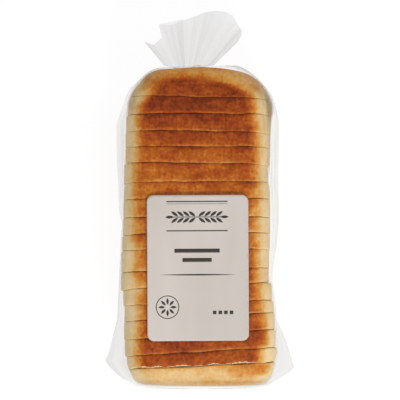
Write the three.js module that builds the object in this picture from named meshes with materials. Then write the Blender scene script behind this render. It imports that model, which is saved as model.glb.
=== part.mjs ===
// A sliced white sandwich loaf in a clear plastic bread bag, lying on its flat base with
// the top crust up and a plain paper label stuck on the film.
//
// Millimetres, +Z up. +Y runs from the bag's closed end to its gathered neck and loose
// tail, +X is to the right of someone who reads the label, and the origin is on the flat
// underside, straight below the middle of the loaf.
//
// The filled bag is one solid: its skin follows the slices where the film clings to the
// crust, stands off them as a slack seam along each side, and runs on through the neck
// into the pleated tail. It is lofted through closed rings with the same number of points.
import * as THREE from "three";

// The loaf inside, as it was baked in a lidded tin.
const loaf = {
  width: 122,
  height: 113,
  length: 264.6,
  shoulderRadius: 21,
  baseRadius: 9,
  lean: Math.tan(THREE.MathUtils.degToRad(6)), // the slices' tops lean towards the neck
};
const midHeight = loaf.height / 2;

// How far the heels round off at each end: across, down from the top, up from the
// base, the reach of the rounding along the loaf, and how much wider the shoulder gets.
const neckHeel = { across: 30, down: 13, up: 5, reach: 40, shoulder: 16 };
const closedHeel = { across: 12, down: 12, up: 5, reach: 17, shoulder: 6 };

// Each slice from the neck end: thickness at the top crust, sideways shift, and the
// turn in degrees of the cut that ends it.
const slices = [
  [26.3, 1.6, -1.2],
  [14.0, 1.7, -0.2],
  [14.3, 0.45, -0.8],
  [12.5, -0.2, 0.0],
  [13.9, -0.5, -0.7],
  [15.1, -1.7, 0.2],
  [13.8, -1.05, 0.5],
  [15.3, -1.1, 0.2],
  [13.4, -1.35, 0.9],
  [13.3, -1.75, 0.6],
  [16.6, -2.4, 2.0],
  [13.4, -2.65, 2.7],
  [13.9, -0.4, 2.2],
  [11.6, 0.9, 3.4],
  [14.4, 1.2, 4.1],
  [14.4, 2.0, 3.4],
  [11.6, 3.25, 2.7],
  [16.8, 3.7, -0.5],
].map(([thickness, shift, turn]) => ({ thickness, shift, turn }));

// How much wider each half of the loaf is than its tin, as [distance along the loaf,
// width]: it has spread towards the closed end and drawn in towards the neck.
const spreading = [
  [-133, -1],
  [-120, -1],
  [-115, 0],
  [-109, 1.4],
  [-97, 1.9],
  [-80, 1.8],
  [-69, 1],
  [-56, 1],
  [-40, 0.55],
  [-10, 0.45],
  [3, 0.15],
  [15, 0.05],
  [29, -0.35],
  [38, -0.9],
  [44, -1.05],
  [58, -0.85],
  [85, -0.8],
  [98, -0.3],
  [104, 0],
];

// The neck heel stands out past its rounded shape by the first number, and at its left
// shoulder by the second as well.
const heelSwell = { all: 1, shoulder: 2.2, middle: -40, width: 14, reach: 14 };

// The film: how far it stands off the crust, and the dip where it spans two slices.
const film = { standOff: 1.0, dip: 1.3, step: 0.6, dipHalfWidth: 1.1, closedBulge: 2.4 };

// How far the slack side seams reach from the middle plane, seen from above, as
// [distance along the loaf, reach]. The ears of the closed end are their widest points.
const leftSeam = [
  [-132.3, 53],
  [-125.3, 66],
  [-117.6, 74],
  [-111, 79],
  [-104, 75.6],
  [-90, 72],
  [-76, 68.4],
  [-49, 67.2],
  [-28, 66.4],
  [-1, 65.5],
  [6, 64.7],
  [13, 66.2],
  [20, 67.3],
  [40, 68],
  [54, 69.2],
  [75, 69.8],
  [89, 69.6],
  [95.4, 68.3],
  [102, 65.9],
  [109, 63.1],
  [116, 61.3],
  [123, 57.2],
  [130, 46],
  [132.3, 38],
];
const rightSeam = [
  [-132.3, 60],
  [-126.3, 70],
  [-120, 79.5],
  [-118, 82.2],
  [-110.7, 80.4],
  [-97, 76.2],
  [-90, 73.4],
  [-76.4, 67],
  [-62.6, 66.1],
  [-49, 64.5],
  [-42, 63.9],
  [-28, 64.5],
  [-7.7, 66.9],
  [6, 68.1],
  [61, 68.3],
  [82, 68.5],
  [95.4, 68.1],
  [102.3, 67],
  [109, 65.4],
  [116, 63.3],
  [123, 58],
  [129, 49],
  [132.3, 40],
];
const seamSharpness = { slack: 1.3, ear: 2.6, earStart: -70, earFull: -100 };

// The gathered neck, close behind the heel and a little left of the middle, and the
// pleated tail that fans out beyond it.
const neck = {
  middle: -9,
  start: 137.6,
  length: 2.4,
  halfWidth: 11,
  halfHeight: 5,
  height: 52,
  pleat: 0.9,
};
const tail = {
  origin: [-10.3, 119.7], // where its straight sides would meet
  heading: 3, // degrees by which it turns to the right
  halfAngle: 43,
  rise: 0.16,
  halfThickness: 3.4,
  pleat: 1.3,
  rings: 7,
  openedBy: 0.12, // the share of the way out where the round neck has opened to a fan
  foldedBy: 0.4, // and where its pleats are at full depth
};

// The cut edge of the tail as [degrees from straight on, distance from the fan's origin].
// The notch on the left is where the bag's mouth folds back on itself.
const tailEdge = [
  [-40, 56],
  [-35, 49.1],
  [-24, 51],
  [-22.3, 62.8],
  [-12, 61.3],
  [0.5, 62.4],
  [8, 66.3],
  [13, 70],
  [21, 74],
  [27, 76],
  [31.5, 76.3],
  [35, 74],
  [42.3, 70.8],
  [44.5, 68],
  [46, 61.7],
];

// The paper label, on the flat film over the top crust.
const label = {
  width: 83.2,
  length: 119.6,
  cornerRadius: 5.5,
  thickness: 0.4,
  gap: 0.3,
  bridge: 3, // how far past its edges the stiff paper still holds the film flat
  middle: [-0.15, -29],
  turn: 0.3,
};

// Segments in half a ring: side, shoulder, half of the top, and side, corner, half base.
const halfRing = { side: 3, shoulder: 4, top: 8, corner: 3, base: 10 };
const ringPoints = 2 * (2 * halfRing.side + 2 * halfRing.shoulder + halfRing.top);

// Where the other rings are, as shares of the reach of each heel's rounding, of the way
// from the neck heel's outline to the neck, and of the way in across the closed end.
const stations = {
  closedHeel: [0, 0.05, 0.2, 0.45, 0.8],
  neckHeel: [0.48, 0.28, 0.16, 0.08, 0.03, 0],
  gathers: [0.25, 0.55, 0.82],
  closedEnd: [0.3, 0.65, 0.93],
};

const lerp = THREE.MathUtils.lerp;
const clamp = THREE.MathUtils.clamp;
const smooth = THREE.MathUtils.smoothstep;

// The value at x of a polyline through [x, value] points.
function along(points, x) {
  const last = points.length - 1;
  if (x <= points[0][0]) return points[0][1];
  if (x >= points[last][0]) return points[last][1];
  const next = points.findIndex((point) => point[0] > x);
  const [x0, v0] = points[next - 1];
  const [x1, v1] = points[next];
  return lerp(v0, v1, (x - x0) / (x1 - x0));
}

// How far a heel has rounded off, from 0 where it begins to 1 at the end face.
function rounding(distanceFromEnd, reach) {
  const into = clamp(1 - distanceFromEnd / reach, 0, 1);
  return 1 - Math.sqrt(1 - into * into);
}

// The loaf's cross-section at a place along it, grown by the film's stand-off.
function sectionAt(place) {
  const atNeck = rounding(loaf.length / 2 - place, neckHeel.reach);
  const atClosed = rounding(loaf.length / 2 + place, closedHeel.reach);
  const across = neckHeel.across * atNeck + closedHeel.across * atClosed;
  const down = neckHeel.down * atNeck + closedHeel.down * atClosed;
  const up = neckHeel.up * atNeck + closedHeel.up * atClosed;
  const shoulder = neckHeel.shoulder * atNeck + closedHeel.shoulder * atClosed;
  return {
    halfWidth: loaf.width / 2 + along(spreading, place) - across + film.standOff,
    top: loaf.height - down + film.standOff,
    base: up,
    shoulderRadius: loaf.shoulderRadius + shoulder,
    baseRadius: loaf.baseRadius,
  };
}

// How far the neck heel stands out along the loaf past its rounded shape.
function swellAt(x, place) {
  const near = smooth(place, loaf.length / 2 - heelSwell.reach, loaf.length / 2);
  const away = (x - heelSwell.middle) / heelSwell.width;
  return near * (heelSwell.all + heelSwell.shoulder * Math.exp(-away * away));
}

// Evenly spaced values from a to b, without the last.
function spaced(a, b, count) {
  return Array.from({ length: count }, (unused, i) => lerp(a, b, i / count));
}

// Points of one half of a ring, from the right seam up over the shoulder, or down round
// the base corner, towards the left seam. Grip is 1 where film clings to crust, and side
// is 1 at the seam and 0 where the flat side wall ends.
function halfLoop(section, edge, radius, sideCount, cornerCount, faceCount, grip) {
  const flat = section.halfWidth - radius;
  const bend = edge > midHeight ? edge - radius : edge + radius;
  const lift = edge > midHeight ? 1 : -1;
  const points = [];
  for (const s of spaced(0, 1, sideCount)) {
    points.push({ x: section.halfWidth, z: lerp(midHeight, bend, s), grip: 0, side: 1 - s });
  }
  for (const a of spaced(0, Math.PI / 2, cornerCount)) {
    const x = flat + radius * Math.cos(a);
    points.push({ x, z: bend + lift * radius * Math.sin(a), grip: grip * Math.sin(a), side: 0 });
  }
  for (const s of spaced(0, 1, faceCount)) {
    points.push({ x: lerp(flat, -flat, s), z: edge, grip, side: 0 });
  }
  for (const a of spaced(Math.PI / 2, 0, cornerCount)) {
    const x = -flat - radius * Math.cos(a);
    points.push({ x, z: bend + lift * radius * Math.sin(a), grip: grip * Math.sin(a), side: 0 });
  }
  for (const s of spaced(1, 0, sideCount)) {
    points.push({ x: -section.halfWidth, z: lerp(midHeight, bend, s), grip: 0, side: 1 - s });
  }
  return points;
}

// A ring's points in order: right seam, over the top, left seam, and back underneath.
function loopOf(section) {
  const { side, shoulder, top, corner, base } = halfRing;
  const over = halfLoop(section, section.top, section.shoulderRadius, side, shoulder, top, 1);
  const under = halfLoop(section, section.base, section.baseRadius, side, corner, base, 0);
  const left = { x: -section.halfWidth, z: midHeight, grip: 0, side: 1 };
  const back = under.slice(1).reverse();
  return [...over, left, ...back];
}

// The slices' cuts, as their place on the middle plane and the tangent of their turn.
const cuts = [];
let reached = loaf.length / 2;
for (const slice of slices.slice(0, -1)) {
  reached -= slice.thickness;
  cuts.push([reached, Math.tan(THREE.MathUtils.degToRad(slice.turn))]);
}
const turns = [[-loaf.length / 2, 0], ...[...cuts].reverse(), [loaf.length / 2, 0]];

// The sideways shift at the middle of each slice.
const shifts = [];
reached = loaf.length / 2;
for (const slice of slices) {
  shifts.unshift([reached - slice.thickness / 2, slice.shift]);
  reached -= slice.thickness;
}

// True where the stiff label bridges the dips between slices.
function underLabel(x, y) {
  const [middleX, middleY] = label.middle;
  const inside = Math.abs(x - middleX) < label.width / 2 + label.bridge;
  return inside && Math.abs(y - middleY) < label.length / 2 + label.bridge;
}

// A ring of the filled body. Dip lowers the skin where film clings to crust.
function bodyRing(place, dip) {
  const ear = smooth(-place, -seamSharpness.earStart, -seamSharpness.earFull);
  const sharpness = lerp(seamSharpness.slack, seamSharpness.ear, ear);
  const section = sectionAt(place);
  const shift = along(shifts, place);
  const turn = along(turns, place);
  return loopOf(section).map((point) => {
    const run = place + turn * point.x;
    const seam = point.x > 0 ? along(rightSeam, run) : along(leftSeam, run);
    const slack = Math.max(seam - section.halfWidth, 0);
    const reach = slack * Math.pow(point.side, sharpness);
    const x = point.x + Math.sign(point.x) * reach + shift * (1 - point.side);
    const swell = swellAt(point.x, place);
    const y = place + loaf.lean * (point.z - midHeight) + turn * point.x + swell;
    const bridged = underLabel(x, y);
    return new THREE.Vector3(x, y, point.z - (bridged ? 0 : dip * point.grip));
  });
}

// The ring that a fan of directions from the neck makes. Spread is 0 at the neck, where
// it is an oval, and 1 at the tail's cut edge, where it is a flat pleated loop.
function gatheredRing(y, spread) {
  const half = ringPoints / 2;
  return Array.from({ length: ringPoints }, (unused, i) => {
    const over = i <= half;
    const across = over ? 1 - (2 * i) / half : (2 * (i - half)) / half - 1;
    const angle = THREE.MathUtils.degToRad(tail.heading + tail.halfAngle * across);
    const lift = Math.sqrt(Math.max(1 - across * across, 0)) * (over ? 1 : -1);
    const pleat = i % 2 === 0 ? 1 : -1;
    const roundAngle = (Math.PI / 2) * across;
    const halfWidth = neck.halfWidth + neck.pleat * pleat;
    const halfHeight = neck.halfHeight + neck.pleat * pleat;
    const roundX = neck.middle + halfWidth * Math.sin(roundAngle);
    const roundZ = neck.height + halfHeight * Math.cos(roundAngle) * (over ? 1 : -1);
    if (spread === 0) return new THREE.Vector3(roundX, y, roundZ);
    const edge = along(tailEdge, THREE.MathUtils.radToDeg(angle));
    const [originX, originY] = tail.origin;
    const start = (neck.start + neck.length - originY) / Math.cos(angle);
    const distance = lerp(start, edge, spread);
    const atSide = i === 0 || i === half;
    const fold = atSide ? 0 : tail.pleat * pleat * smooth(spread, 0, tail.foldedBy);
    const fanX = originX + distance * Math.sin(angle);
    const fanY = originY + distance * Math.cos(angle);
    const middle = neck.height + tail.rise * (fanY - neck.start);
    const fanZ = middle + tail.halfThickness * lift + fold;
    const open = smooth(spread, 0, tail.openedBy);
    return new THREE.Vector3(lerp(roundX, fanX, open), fanY, lerp(roundZ, fanZ, open));
  });
}

// Rings between the neck heel's outline and the neck, drawn in by radial gathers.
function shoulderRings(outline, gathered) {
  return stations.gathers.map((share) =>
    outline.map((point, i) => {
      const drawn = point.clone().lerp(gathered[i], share);
      const pleat = (i % 2 === 0 ? 1 : -1) * neck.pleat * Math.sin(Math.PI * share);
      drawn.y += pleat;
      return drawn;
    }),
  );
}

// Rings that close the far end flat against the heel, down to a last small one.
function closedRings(outline) {
  const middle = new THREE.Vector3(0, -loaf.length / 2, midHeight);
  return stations.closedEnd.map((share) =>
    outline.map((point) => {
      const drawn = point.clone().lerp(middle, share);
      drawn.y -= film.closedBulge * Math.sin((Math.PI / 2) * Math.sqrt(share));
      return drawn;
    }),
  );
}

// Every ring of the bag, from the closed end to the tail's cut edge: round both heels,
// at each cut, in the middle of each slice between the heels, and at the tips of the ears.
function bagRings() {
  const places = [];
  for (const share of stations.closedHeel) {
    places.push([-loaf.length / 2 + closedHeel.reach * share, 0]);
  }
  for (const [cut] of cuts) {
    places.push([cut - film.dipHalfWidth, film.step]);
    places.push([cut, film.dip]);
    places.push([cut + film.dipHalfWidth, 0]);
  }
  for (const [middle] of shifts.slice(1, -1)) places.push([middle, 0]);
  for (const [seam, side] of [
    [leftSeam, -1],
    [rightSeam, 1],
  ]) {
    const [tip] = seam.reduce((widest, point) => (point[1] > widest[1] ? point : widest));
    places.push([tip - (along(turns, tip) * side * loaf.width) / 2, 0]);
  }
  for (const share of stations.neckHeel) {
    places.push([loaf.length / 2 - neckHeel.reach * share, 0]);
  }
  const body = places
    .sort((a, b) => a[0] - b[0])
    .map(([place, dip]) => bodyRing(place, dip));
  const closed = closedRings(body[0]).reverse();
  const firstGather = gatheredRing(neck.start, 0);
  const shoulder = shoulderRings(body[body.length - 1], firstGather);
  const secondGather = gatheredRing(neck.start + neck.length, 0);
  const fan = [];
  for (let ring = 1; ring <= tail.rings; ring += 1) {
    fan.push(gatheredRing(0, ring / tail.rings));
  }
  return [...closed, ...body, ...shoulder, firstGather, secondGather, ...fan];
}

// A closed surface through rings of points: a strip between each two rings, a fan of
// triangles over the first, and the last zipped shut from its upper to its lower half.
function loft(rings) {
  const vertices = rings.flat();
  const count = ringPoints;
  const triangles = [];
  for (let r = 0; r + 1 < rings.length; r += 1) {
    for (let i = 0; i < count; i += 1) {
      const a = r * count + i;
      const b = r * count + ((i + 1) % count);
      triangles.push([a, a + count, b], [b, a + count, b + count]);
    }
  }
  const middle = new THREE.Vector3();
  rings[0].forEach((point) => middle.addScaledVector(point, 1 / count));
  const hub = vertices.push(middle) - 1;
  for (let i = 0; i < count; i += 1) triangles.push([hub, i, (i + 1) % count]);
  const last = (rings.length - 1) * count;
  for (let i = 0; i < count / 2; i += 1) {
    const upper = [last + i, last + i + 1];
    const lower = [last + ((count - i) % count), last + count - i - 1];
    if (lower[0] !== upper[0]) triangles.push([upper[0], lower[0], upper[1]]);
    if (lower[1] !== upper[1]) triangles.push([upper[1], lower[0], lower[1]]);
  }
  const geometry = new THREE.BufferGeometry().setFromPoints(vertices);
  geometry.setIndex(triangles.flat());
  geometry.computeVertexNormals();
  return geometry;
}

// The label: a rounded rectangle of paper.
function labelGeometry() {
  const x = label.width / 2;
  const y = label.length / 2;
  const r = label.cornerRadius;
  const outline = new THREE.Shape();
  outline.moveTo(-x + r, -y);
  outline.lineTo(x - r, -y);
  outline.absarc(x - r, -y + r, r, -Math.PI / 2, 0);
  outline.lineTo(x, y - r);
  outline.absarc(x - r, y - r, r, 0, Math.PI / 2);
  outline.lineTo(-x + r, y);
  outline.absarc(-x + r, y - r, r, Math.PI / 2, Math.PI);
  outline.lineTo(-x, -y + r);
  outline.absarc(-x + r, -y + r, r, Math.PI, 1.5 * Math.PI);
  return new THREE.ExtrudeGeometry(outline, {
    depth: label.thickness,
    bevelEnabled: false,
    curveSegments: 6,
  });
}

const filmMaterial = new THREE.MeshStandardMaterial({
  color: "#d9a25e",
  roughness: 0.35,
  metalness: 0,
});
const paperMaterial = new THREE.MeshStandardMaterial({
  color: "#d0c7be",
  roughness: 0.6,
  metalness: 0,
});

const bag = new THREE.Mesh(loft(bagRings()), filmMaterial);
bag.name = "bag";

const labelPaper = new THREE.Mesh(labelGeometry(), paperMaterial);
labelPaper.name = "label";
labelPaper.position.set(
  label.middle[0],
  label.middle[1],
  loaf.height + film.standOff + label.gap,
);
labelPaper.rotation.z = THREE.MathUtils.degToRad(label.turn);

const baggedLoaf = new THREE.Group();
baggedLoaf.add(bag, labelPaper);

export default baggedLoaf;
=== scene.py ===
# A sliced white loaf in a clear film bag with a paper label, lying on a pale table and seen
# from straight above. Shapes are worked out in millimetres and put in as metres.
import functools
import itertools
import math

import bpy
import numpy as np
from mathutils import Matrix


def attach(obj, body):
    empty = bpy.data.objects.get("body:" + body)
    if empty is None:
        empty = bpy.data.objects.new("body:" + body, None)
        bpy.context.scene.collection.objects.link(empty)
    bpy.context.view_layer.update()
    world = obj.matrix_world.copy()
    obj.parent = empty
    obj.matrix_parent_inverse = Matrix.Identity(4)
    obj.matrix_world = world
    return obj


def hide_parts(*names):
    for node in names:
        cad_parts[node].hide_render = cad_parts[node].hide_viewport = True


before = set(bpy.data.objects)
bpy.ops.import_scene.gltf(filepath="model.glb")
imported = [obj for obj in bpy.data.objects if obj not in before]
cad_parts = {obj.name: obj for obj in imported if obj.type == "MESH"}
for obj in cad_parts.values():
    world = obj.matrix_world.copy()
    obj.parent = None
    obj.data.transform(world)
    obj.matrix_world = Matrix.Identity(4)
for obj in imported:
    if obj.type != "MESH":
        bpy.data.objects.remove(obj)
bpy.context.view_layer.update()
scene = bpy.context.scene
mm = 0.001
print("frame loaded")

# The loaf as it was baked in a lidded tin, and how far each heel rounds off.
loaf = {
    "width": 122,
    "height": 113,
    "length": 264.6,  # between the two ends' middles
    "shoulderRadius": 21,
    "baseRadius": 9,
    "leanDegrees": 6,  # the slices' tops lean towards the neck
}
neckHeel = {"across": 30, "down": 13, "up": 5, "reach": 40, "shoulder": 16}
closedHeel = {"across": 12, "down": 12, "up": 5, "reach": 17, "shoulder": 6}
farOff = 99  # stands for the distance to a cut that isn't there
middle = loaf["height"] / 2
lean = math.tan(math.radians(loaf["leanDegrees"]))

# Each slice from the neck end: thickness at the top crust, sideways shift, and the turn in
# degrees of the cut that ends it.
sliceSizes = [
    (26.3, 1.6, -1.2), (14.0, 1.7, -0.2), (14.3, 0.45, -0.8), (12.5, -0.2, 0.0),
    (13.9, -0.5, -0.7), (15.1, -1.7, 0.2), (13.8, -1.05, 0.5), (15.3, -1.1, 0.2),
    (13.4, -1.35, 0.9), (13.3, -1.75, 0.6), (16.6, -2.4, 2.0), (13.4, -2.65, 2.7),
    (13.9, -0.4, 2.2), (11.6, 0.9, 3.4), (14.4, 1.2, 4.1), (14.4, 2.0, 3.4),
    (11.6, 3.25, 2.7), (16.8, 3.7, -0.5),
]
# How much wider each half of the loaf is than its tin, by place along it: it has spread
# towards the closed end and drawn in towards the neck.
spreading = [
    (-133, -1), (-120, -1), (-115, 0), (-109, 1.4), (-97, 1.9), (-80, 1.8), (-69, 1), (-56, 1),
    (-40, 0.55), (-10, 0.45), (3, 0.15), (15, 0.05), (29, -0.35), (38, -0.9), (44, -1.05),
    (58, -0.85), (85, -0.8), (98, -0.3), (104, 0),
]
lastSlice = len(sliceSizes) - 1
thicknesses, shifts, turnDegrees = np.array(sliceSizes).T
edges = loaf["length"] / 2 - np.concatenate([[0], np.cumsum(thicknesses)])
edgeTurns = np.tan(np.radians(np.concatenate([[0], turnDegrees[:-1], [0]])))


def smooth(x, start, end):
    # 0 before start, 1 after end, and an even S-curve between them.
    t = np.clip((x - start) / (end - start), 0, 1)
    return t * t * (3 - 2 * t)


def bell(x, centre, reach):
    # 1 at the centre, falling to nothing past the reach.
    return np.exp(-(((x - centre) / reach) ** 2))


def along(points, x):
    # The value at x of a polyline through (x, value) points.
    places, values = np.array(sorted(points)).T
    return np.interp(x, places, values)


def softNoise(points, size, seed):
    # Noise from -1 to 1: random values on a lattice with the given spacing in mm, blended
    # between the eight corners round each point.
    count = 32
    lattice = np.random.default_rng(seed).uniform(-1, 1, (count, count, count))
    scaled = points / np.array(size)
    cell = np.floor(scaled).astype(int)
    blend = smooth(scaled - cell, 0, 1)
    total = 0
    for corner in itertools.product((0, 1), repeat=3):
        i, j, k = np.moveaxis((cell + corner) % count, -1, 0)
        total = total + np.prod(np.where(corner, blend, 1 - blend), axis=-1) * lattice[i, j, k]
    return total


def layered(points, layers):
    # Several noises added up, as rows of amount, size in mm and seed.
    return sum(amount * softNoise(points, size, seed) for amount, size, seed in layers)


def stacked(*parts):
    # Arrays of coordinates as one array of points.
    return np.stack(np.broadcast_arrays(*parts), axis=-1).astype(float)


def rounding(distance, reach):
    # How far a heel has rounded off: a quarter circle, 0 where it begins, 1 at the end.
    into = np.clip(1 - distance / reach, 0, 1)
    return 1 - np.sqrt(1 - into * into)


def crossSection(place, grown=0):
    # The loaf's rounded rectangle at each place along it, grown by the film's stand-off.
    place = place[:, None]
    atNeck = rounding(loaf["length"] / 2 - place, neckHeel["reach"])
    atClosed = rounding(loaf["length"] / 2 + place, closedHeel["reach"])

    def loss(name):
        return neckHeel[name] * atNeck + closedHeel[name] * atClosed

    return {
        "halfWidth": loaf["width"] / 2 + along(spreading, place) - loss("across") + grown,
        "top": loaf["height"] - loss("down") + grown,
        "base": loss("up"),
        "shoulder": loaf["shoulderRadius"] + loss("shoulder"),
    }


def heelSwell(x, place):
    # How far in mm the neck heel stands out past that shape, most at its left shoulder.
    near = smooth(place, loaf["length"] / 2 - 14, loaf["length"] / 2)
    return near * (1 + 2.2 * bell(x, -40, 14))


def straight(x, z, normal, side, count):
    # A straight stretch of a ring: rows of x, z, normal x, normal z and nearness to the
    # middle of the side wall, each running evenly from its first value to its second.
    s = np.arange(count) / count
    runs = [start + (end - start) * s for start, end in (x, z)]
    return stacked(*runs, normal[0], normal[1], side[0] + (side[1] - side[0]) * s)


def quarter(side, lift, x, z, radius, turns, count):
    # A quarter circle of a ring round the centre x, z, from one angle to another.
    a = (turns[0] + (turns[1] - turns[0]) * np.arange(count) / count) * math.pi / 2
    nx, nz = side * np.cos(a), lift * np.sin(a)
    return stacked(x + radius * nx, z + radius * nz, nx, nz, 0)


def outline(section, counts):
    # Rings of a rounded rectangle: from the middle of the right wall up over the shoulder,
    # across the top, down the left side, and back round underneath.
    w, top, base, r = (section[key] for key in ("halfWidth", "top", "base", "shoulder"))
    c = loaf["baseRadius"] + 0 * w
    right, up, left, down = (1, 0), (0, 1), (-1, 0), (0, -1)
    wall, shoulder, crown, lower, corner, floor = counts
    parts = [
        straight((w, w), (middle, top - r), right, (1, 0), wall),
        quarter(1, 1, w - r, top - r, r, (0, 1), shoulder),
        straight((w - r, r - w), (top, top), up, (0, 0), crown),
        quarter(-1, 1, r - w, top - r, r, (1, 0), shoulder),
        straight((-w, -w), (top - r, middle), left, (0, 1), wall),
        straight((-w, -w), (middle, base + c), left, (1, 0), lower),
        quarter(-1, -1, c - w, base + c, c, (0, 1), corner),
        straight((c - w, w - c), (base, base), down, (0, 0), floor),
        quarter(1, -1, w - c, base + c, c, (1, 0), corner),
        straight((w, w), (base + c, middle), right, (0, 1), lower),
    ]
    return np.moveaxis(np.concatenate(parts, axis=1), -1, 0)


def ringFaces(rows, columns, closedEnd=True):
    # Quads between neighbouring rings, and a fan to a hub point at each closed end.
    corner = np.arange(rows * columns).reshape(rows, columns)
    beside = np.roll(corner, -1, axis=1)
    quads = np.stack([corner[:-1], corner[1:], beside[1:], beside[:-1]], axis=-1)
    faces = quads.reshape(-1, 4).tolist()
    hub = rows * columns
    faces += [[hub, a, b] for a, b in zip(corner[0], beside[0])]
    if closedEnd:
        faces += [[hub + 1, b, a] for a, b in zip(corner[-1], beside[-1])]
    return faces


def withHubs(rings, closedEnd=True):
    # The rings' points or values in one list, then the means of the closed rings as hubs.
    hubs = rings[[0, -1] if closedEnd else [0]].mean(axis=1)
    return np.concatenate([rings.reshape(-1, *rings.shape[2:]), hubs])


def addObject(name, data):
    # A new object at the origin, put into the scene.
    thing = bpy.data.objects.new(name, data)
    scene.collection.objects.link(thing)
    return thing


def addPiece(name, points, faces, material, values=None):
    # A smooth mesh at the origin that rides on the one body.
    mesh = bpy.data.meshes.new(name)
    mesh.from_pydata((points * mm).tolist(), [], faces)
    mesh.materials.append(material)
    mesh.shade_smooth()
    for key, numbers in (values or {}).items():
        attribute = mesh.attributes.new(key, "FLOAT", "POINT")
        attribute.data.foreach_set("value", np.asarray(numbers, np.float32))
    piece = addObject(name, mesh)
    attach(piece, "root")
    return piece


def linear(hexColour):
    # An sRGB hex colour as the linear values that shaders take.
    parts = [int(hexColour[i : i + 2], 16) / 255 for i in (1, 3, 5)]
    lit = [p / 12.92 if p <= 0.04045 else ((p + 0.055) / 1.055) ** 2.4 for p in parts]
    return (*lit, 1)


def addNode(tree, kind, links=None, stops=(), out=0, **settings):
    # A shader node with its settings, its inputs' values or links, and a colour ramp's
    # stops. It gives the first output, or the one that out names.
    node = tree.nodes.new("ShaderNode" + kind)
    for key, value in settings.items():
        setattr(node, key, value)
    for key, value in (links or {}).items():
        if isinstance(value, bpy.types.NodeSocket):
            tree.links.new(value, node.inputs[key])
        else:
            node.inputs[key].default_value = value
    for i, (place, colour) in enumerate(stops):
        elements = node.color_ramp.elements
        stop = elements[i] if i < 2 else elements.new(place)
        stop.position, stop.color = place, linear(colour)
    return node.outputs[out] if node.outputs else None


def newMaterial(name):
    # A material with an empty node tree, and the function that adds a node to it.
    material = bpy.data.materials.new(name)
    material.use_nodes = True
    material.node_tree.nodes.clear()
    return material, functools.partial(addNode, material.node_tree)


def fineNoise(add, place, size, detail):
    # Noise at an object's own place, with its size in mm.
    return add("TexNoise", {"Vector": place, "Scale": 1 / (size * mm), "Detail": detail})


crustLook = {
    # Colours by how far the crust has browned, from the pale sides to the dark top.
    "browning": [
        (0.0, "#ead3a6"), (1.0, "#6d2c0e"), (0.16, "#dfbe87"), (0.33, "#d39a4e"),
        (0.5, "#c5782a"), (0.66, "#b0591b"), (0.8, "#9c4514"), (0.92, "#843612"),
    ],
    "crumb": ("#bd8f55", "#ecd9b2"),
    "roughness": (0.5, 0.85),  # of crust and crumb
    "specular": 0.12,
    # Noise that varies the browning: size in mm along X, Y and Z, amount and detail.
    "patterns": [
        ((22, 10, 22), 0.38, 2), ((9, 7, 9), 0.36, 3),
        ((2.6, 2.6, 2.6), 0.5, 3), ((1.9, 9, 6), 0.22, 2),
    ],
    "blister": 1.1,  # mm across
    "blisterBump": (0.35, 0.3),  # strength, and height in mm
    "pore": 1.6,
}


def bakedCrust():
    # Wheat crust baked against a greased tin: a thin satin skin, blotched and streaked by
    # the lid, with fine blisters. The cut faces show open white crumb.
    material, add = newMaterial("bakedCrust")
    place = add("TexCoord", out="Object")
    brown = add("Attribute", attribute_name="browning", out="Fac")
    cut = add("Attribute", attribute_name="crumb", out="Fac")
    total = 0.0
    for size, amount, detail in crustLook["patterns"]:
        scale = [1 / (length * mm) for length in size]
        scaled = add("Mapping", {"Vector": place, "Scale": scale})
        noise = add("TexNoise", {"Vector": scaled, "Scale": 1, "Detail": detail})
        centred = add("Math", {0: noise, 1: 0.5}, operation="SUBTRACT")
        total = add("Math", {0: centred, 1: amount, 2: total}, operation="MULTIPLY_ADD")
    # The pale crust is more even than the browned one.
    strength = add(
        "MapRange",
        {"Value": brown, "From Min": 0.1, "From Max": 0.55, "To Min": 0.35, "To Max": 1},
    )
    total = add("Math", {0: total, 1: strength, 2: brown}, operation="MULTIPLY_ADD")
    crust = add("ValToRGB", {"Fac": total}, stops=crustLook["browning"])
    pores = fineNoise(add, place, crustLook["pore"], 3)
    crumb = add("ValToRGB", {"Fac": pores}, stops=zip((0.3, 0.55), crustLook["crumb"]))
    # The torn edge between crust and crumb wanders with the pores.
    ragged = add("Math", {0: pores, 1: 0.9, 2: -0.45}, operation="MULTIPLY_ADD")
    torn = add("Math", {0: cut, 1: ragged}, operation="ADD")
    share = add(
        "MapRange",
        {"Value": torn, "From Min": 0.35, "From Max": 0.65},
        interpolation_type="SMOOTHSTEP",
    )
    colour = add("Mix", {0: share, 6: crust, 7: crumb}, data_type="RGBA", out=2)
    satin, matt = crustLook["roughness"]
    rough = add("MapRange", {"Value": share, "To Min": satin, "To Max": matt})
    blister = fineNoise(add, place, crustLook["blister"], 4)
    bumpStrength, bumpHeight = crustLook["blisterBump"]
    bump = add("Bump", {"Height": blister, "Strength": bumpStrength, "Distance": bumpHeight * mm})
    shader = add(
        "BsdfPrincipled",
        {
            "Base Color": colour,
            "Roughness": rough,
            "Normal": bump,
            "Specular IOR Level": crustLook["specular"],
        },
    )
    add("OutputMaterial", {"Surface": shader})
    return material


filmLook = {
    # The grey that creased film puts over what is behind it, and a darker olive where the film
    # is seen edge on, which is painted shade of the loaf's sides turned away from the light.
    "veil": "#a8a9a8",
    "edgeShadeVeil": "#7d684a",
    "steepness": 3.0,  # how late the edge veil rises as the film turns edge on
    "gloss": 0.18,
    "specular": 0.3,
    "mirror": 0.0012,  # how much it mirrors, so that its creases catch the softboxes
}


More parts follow.
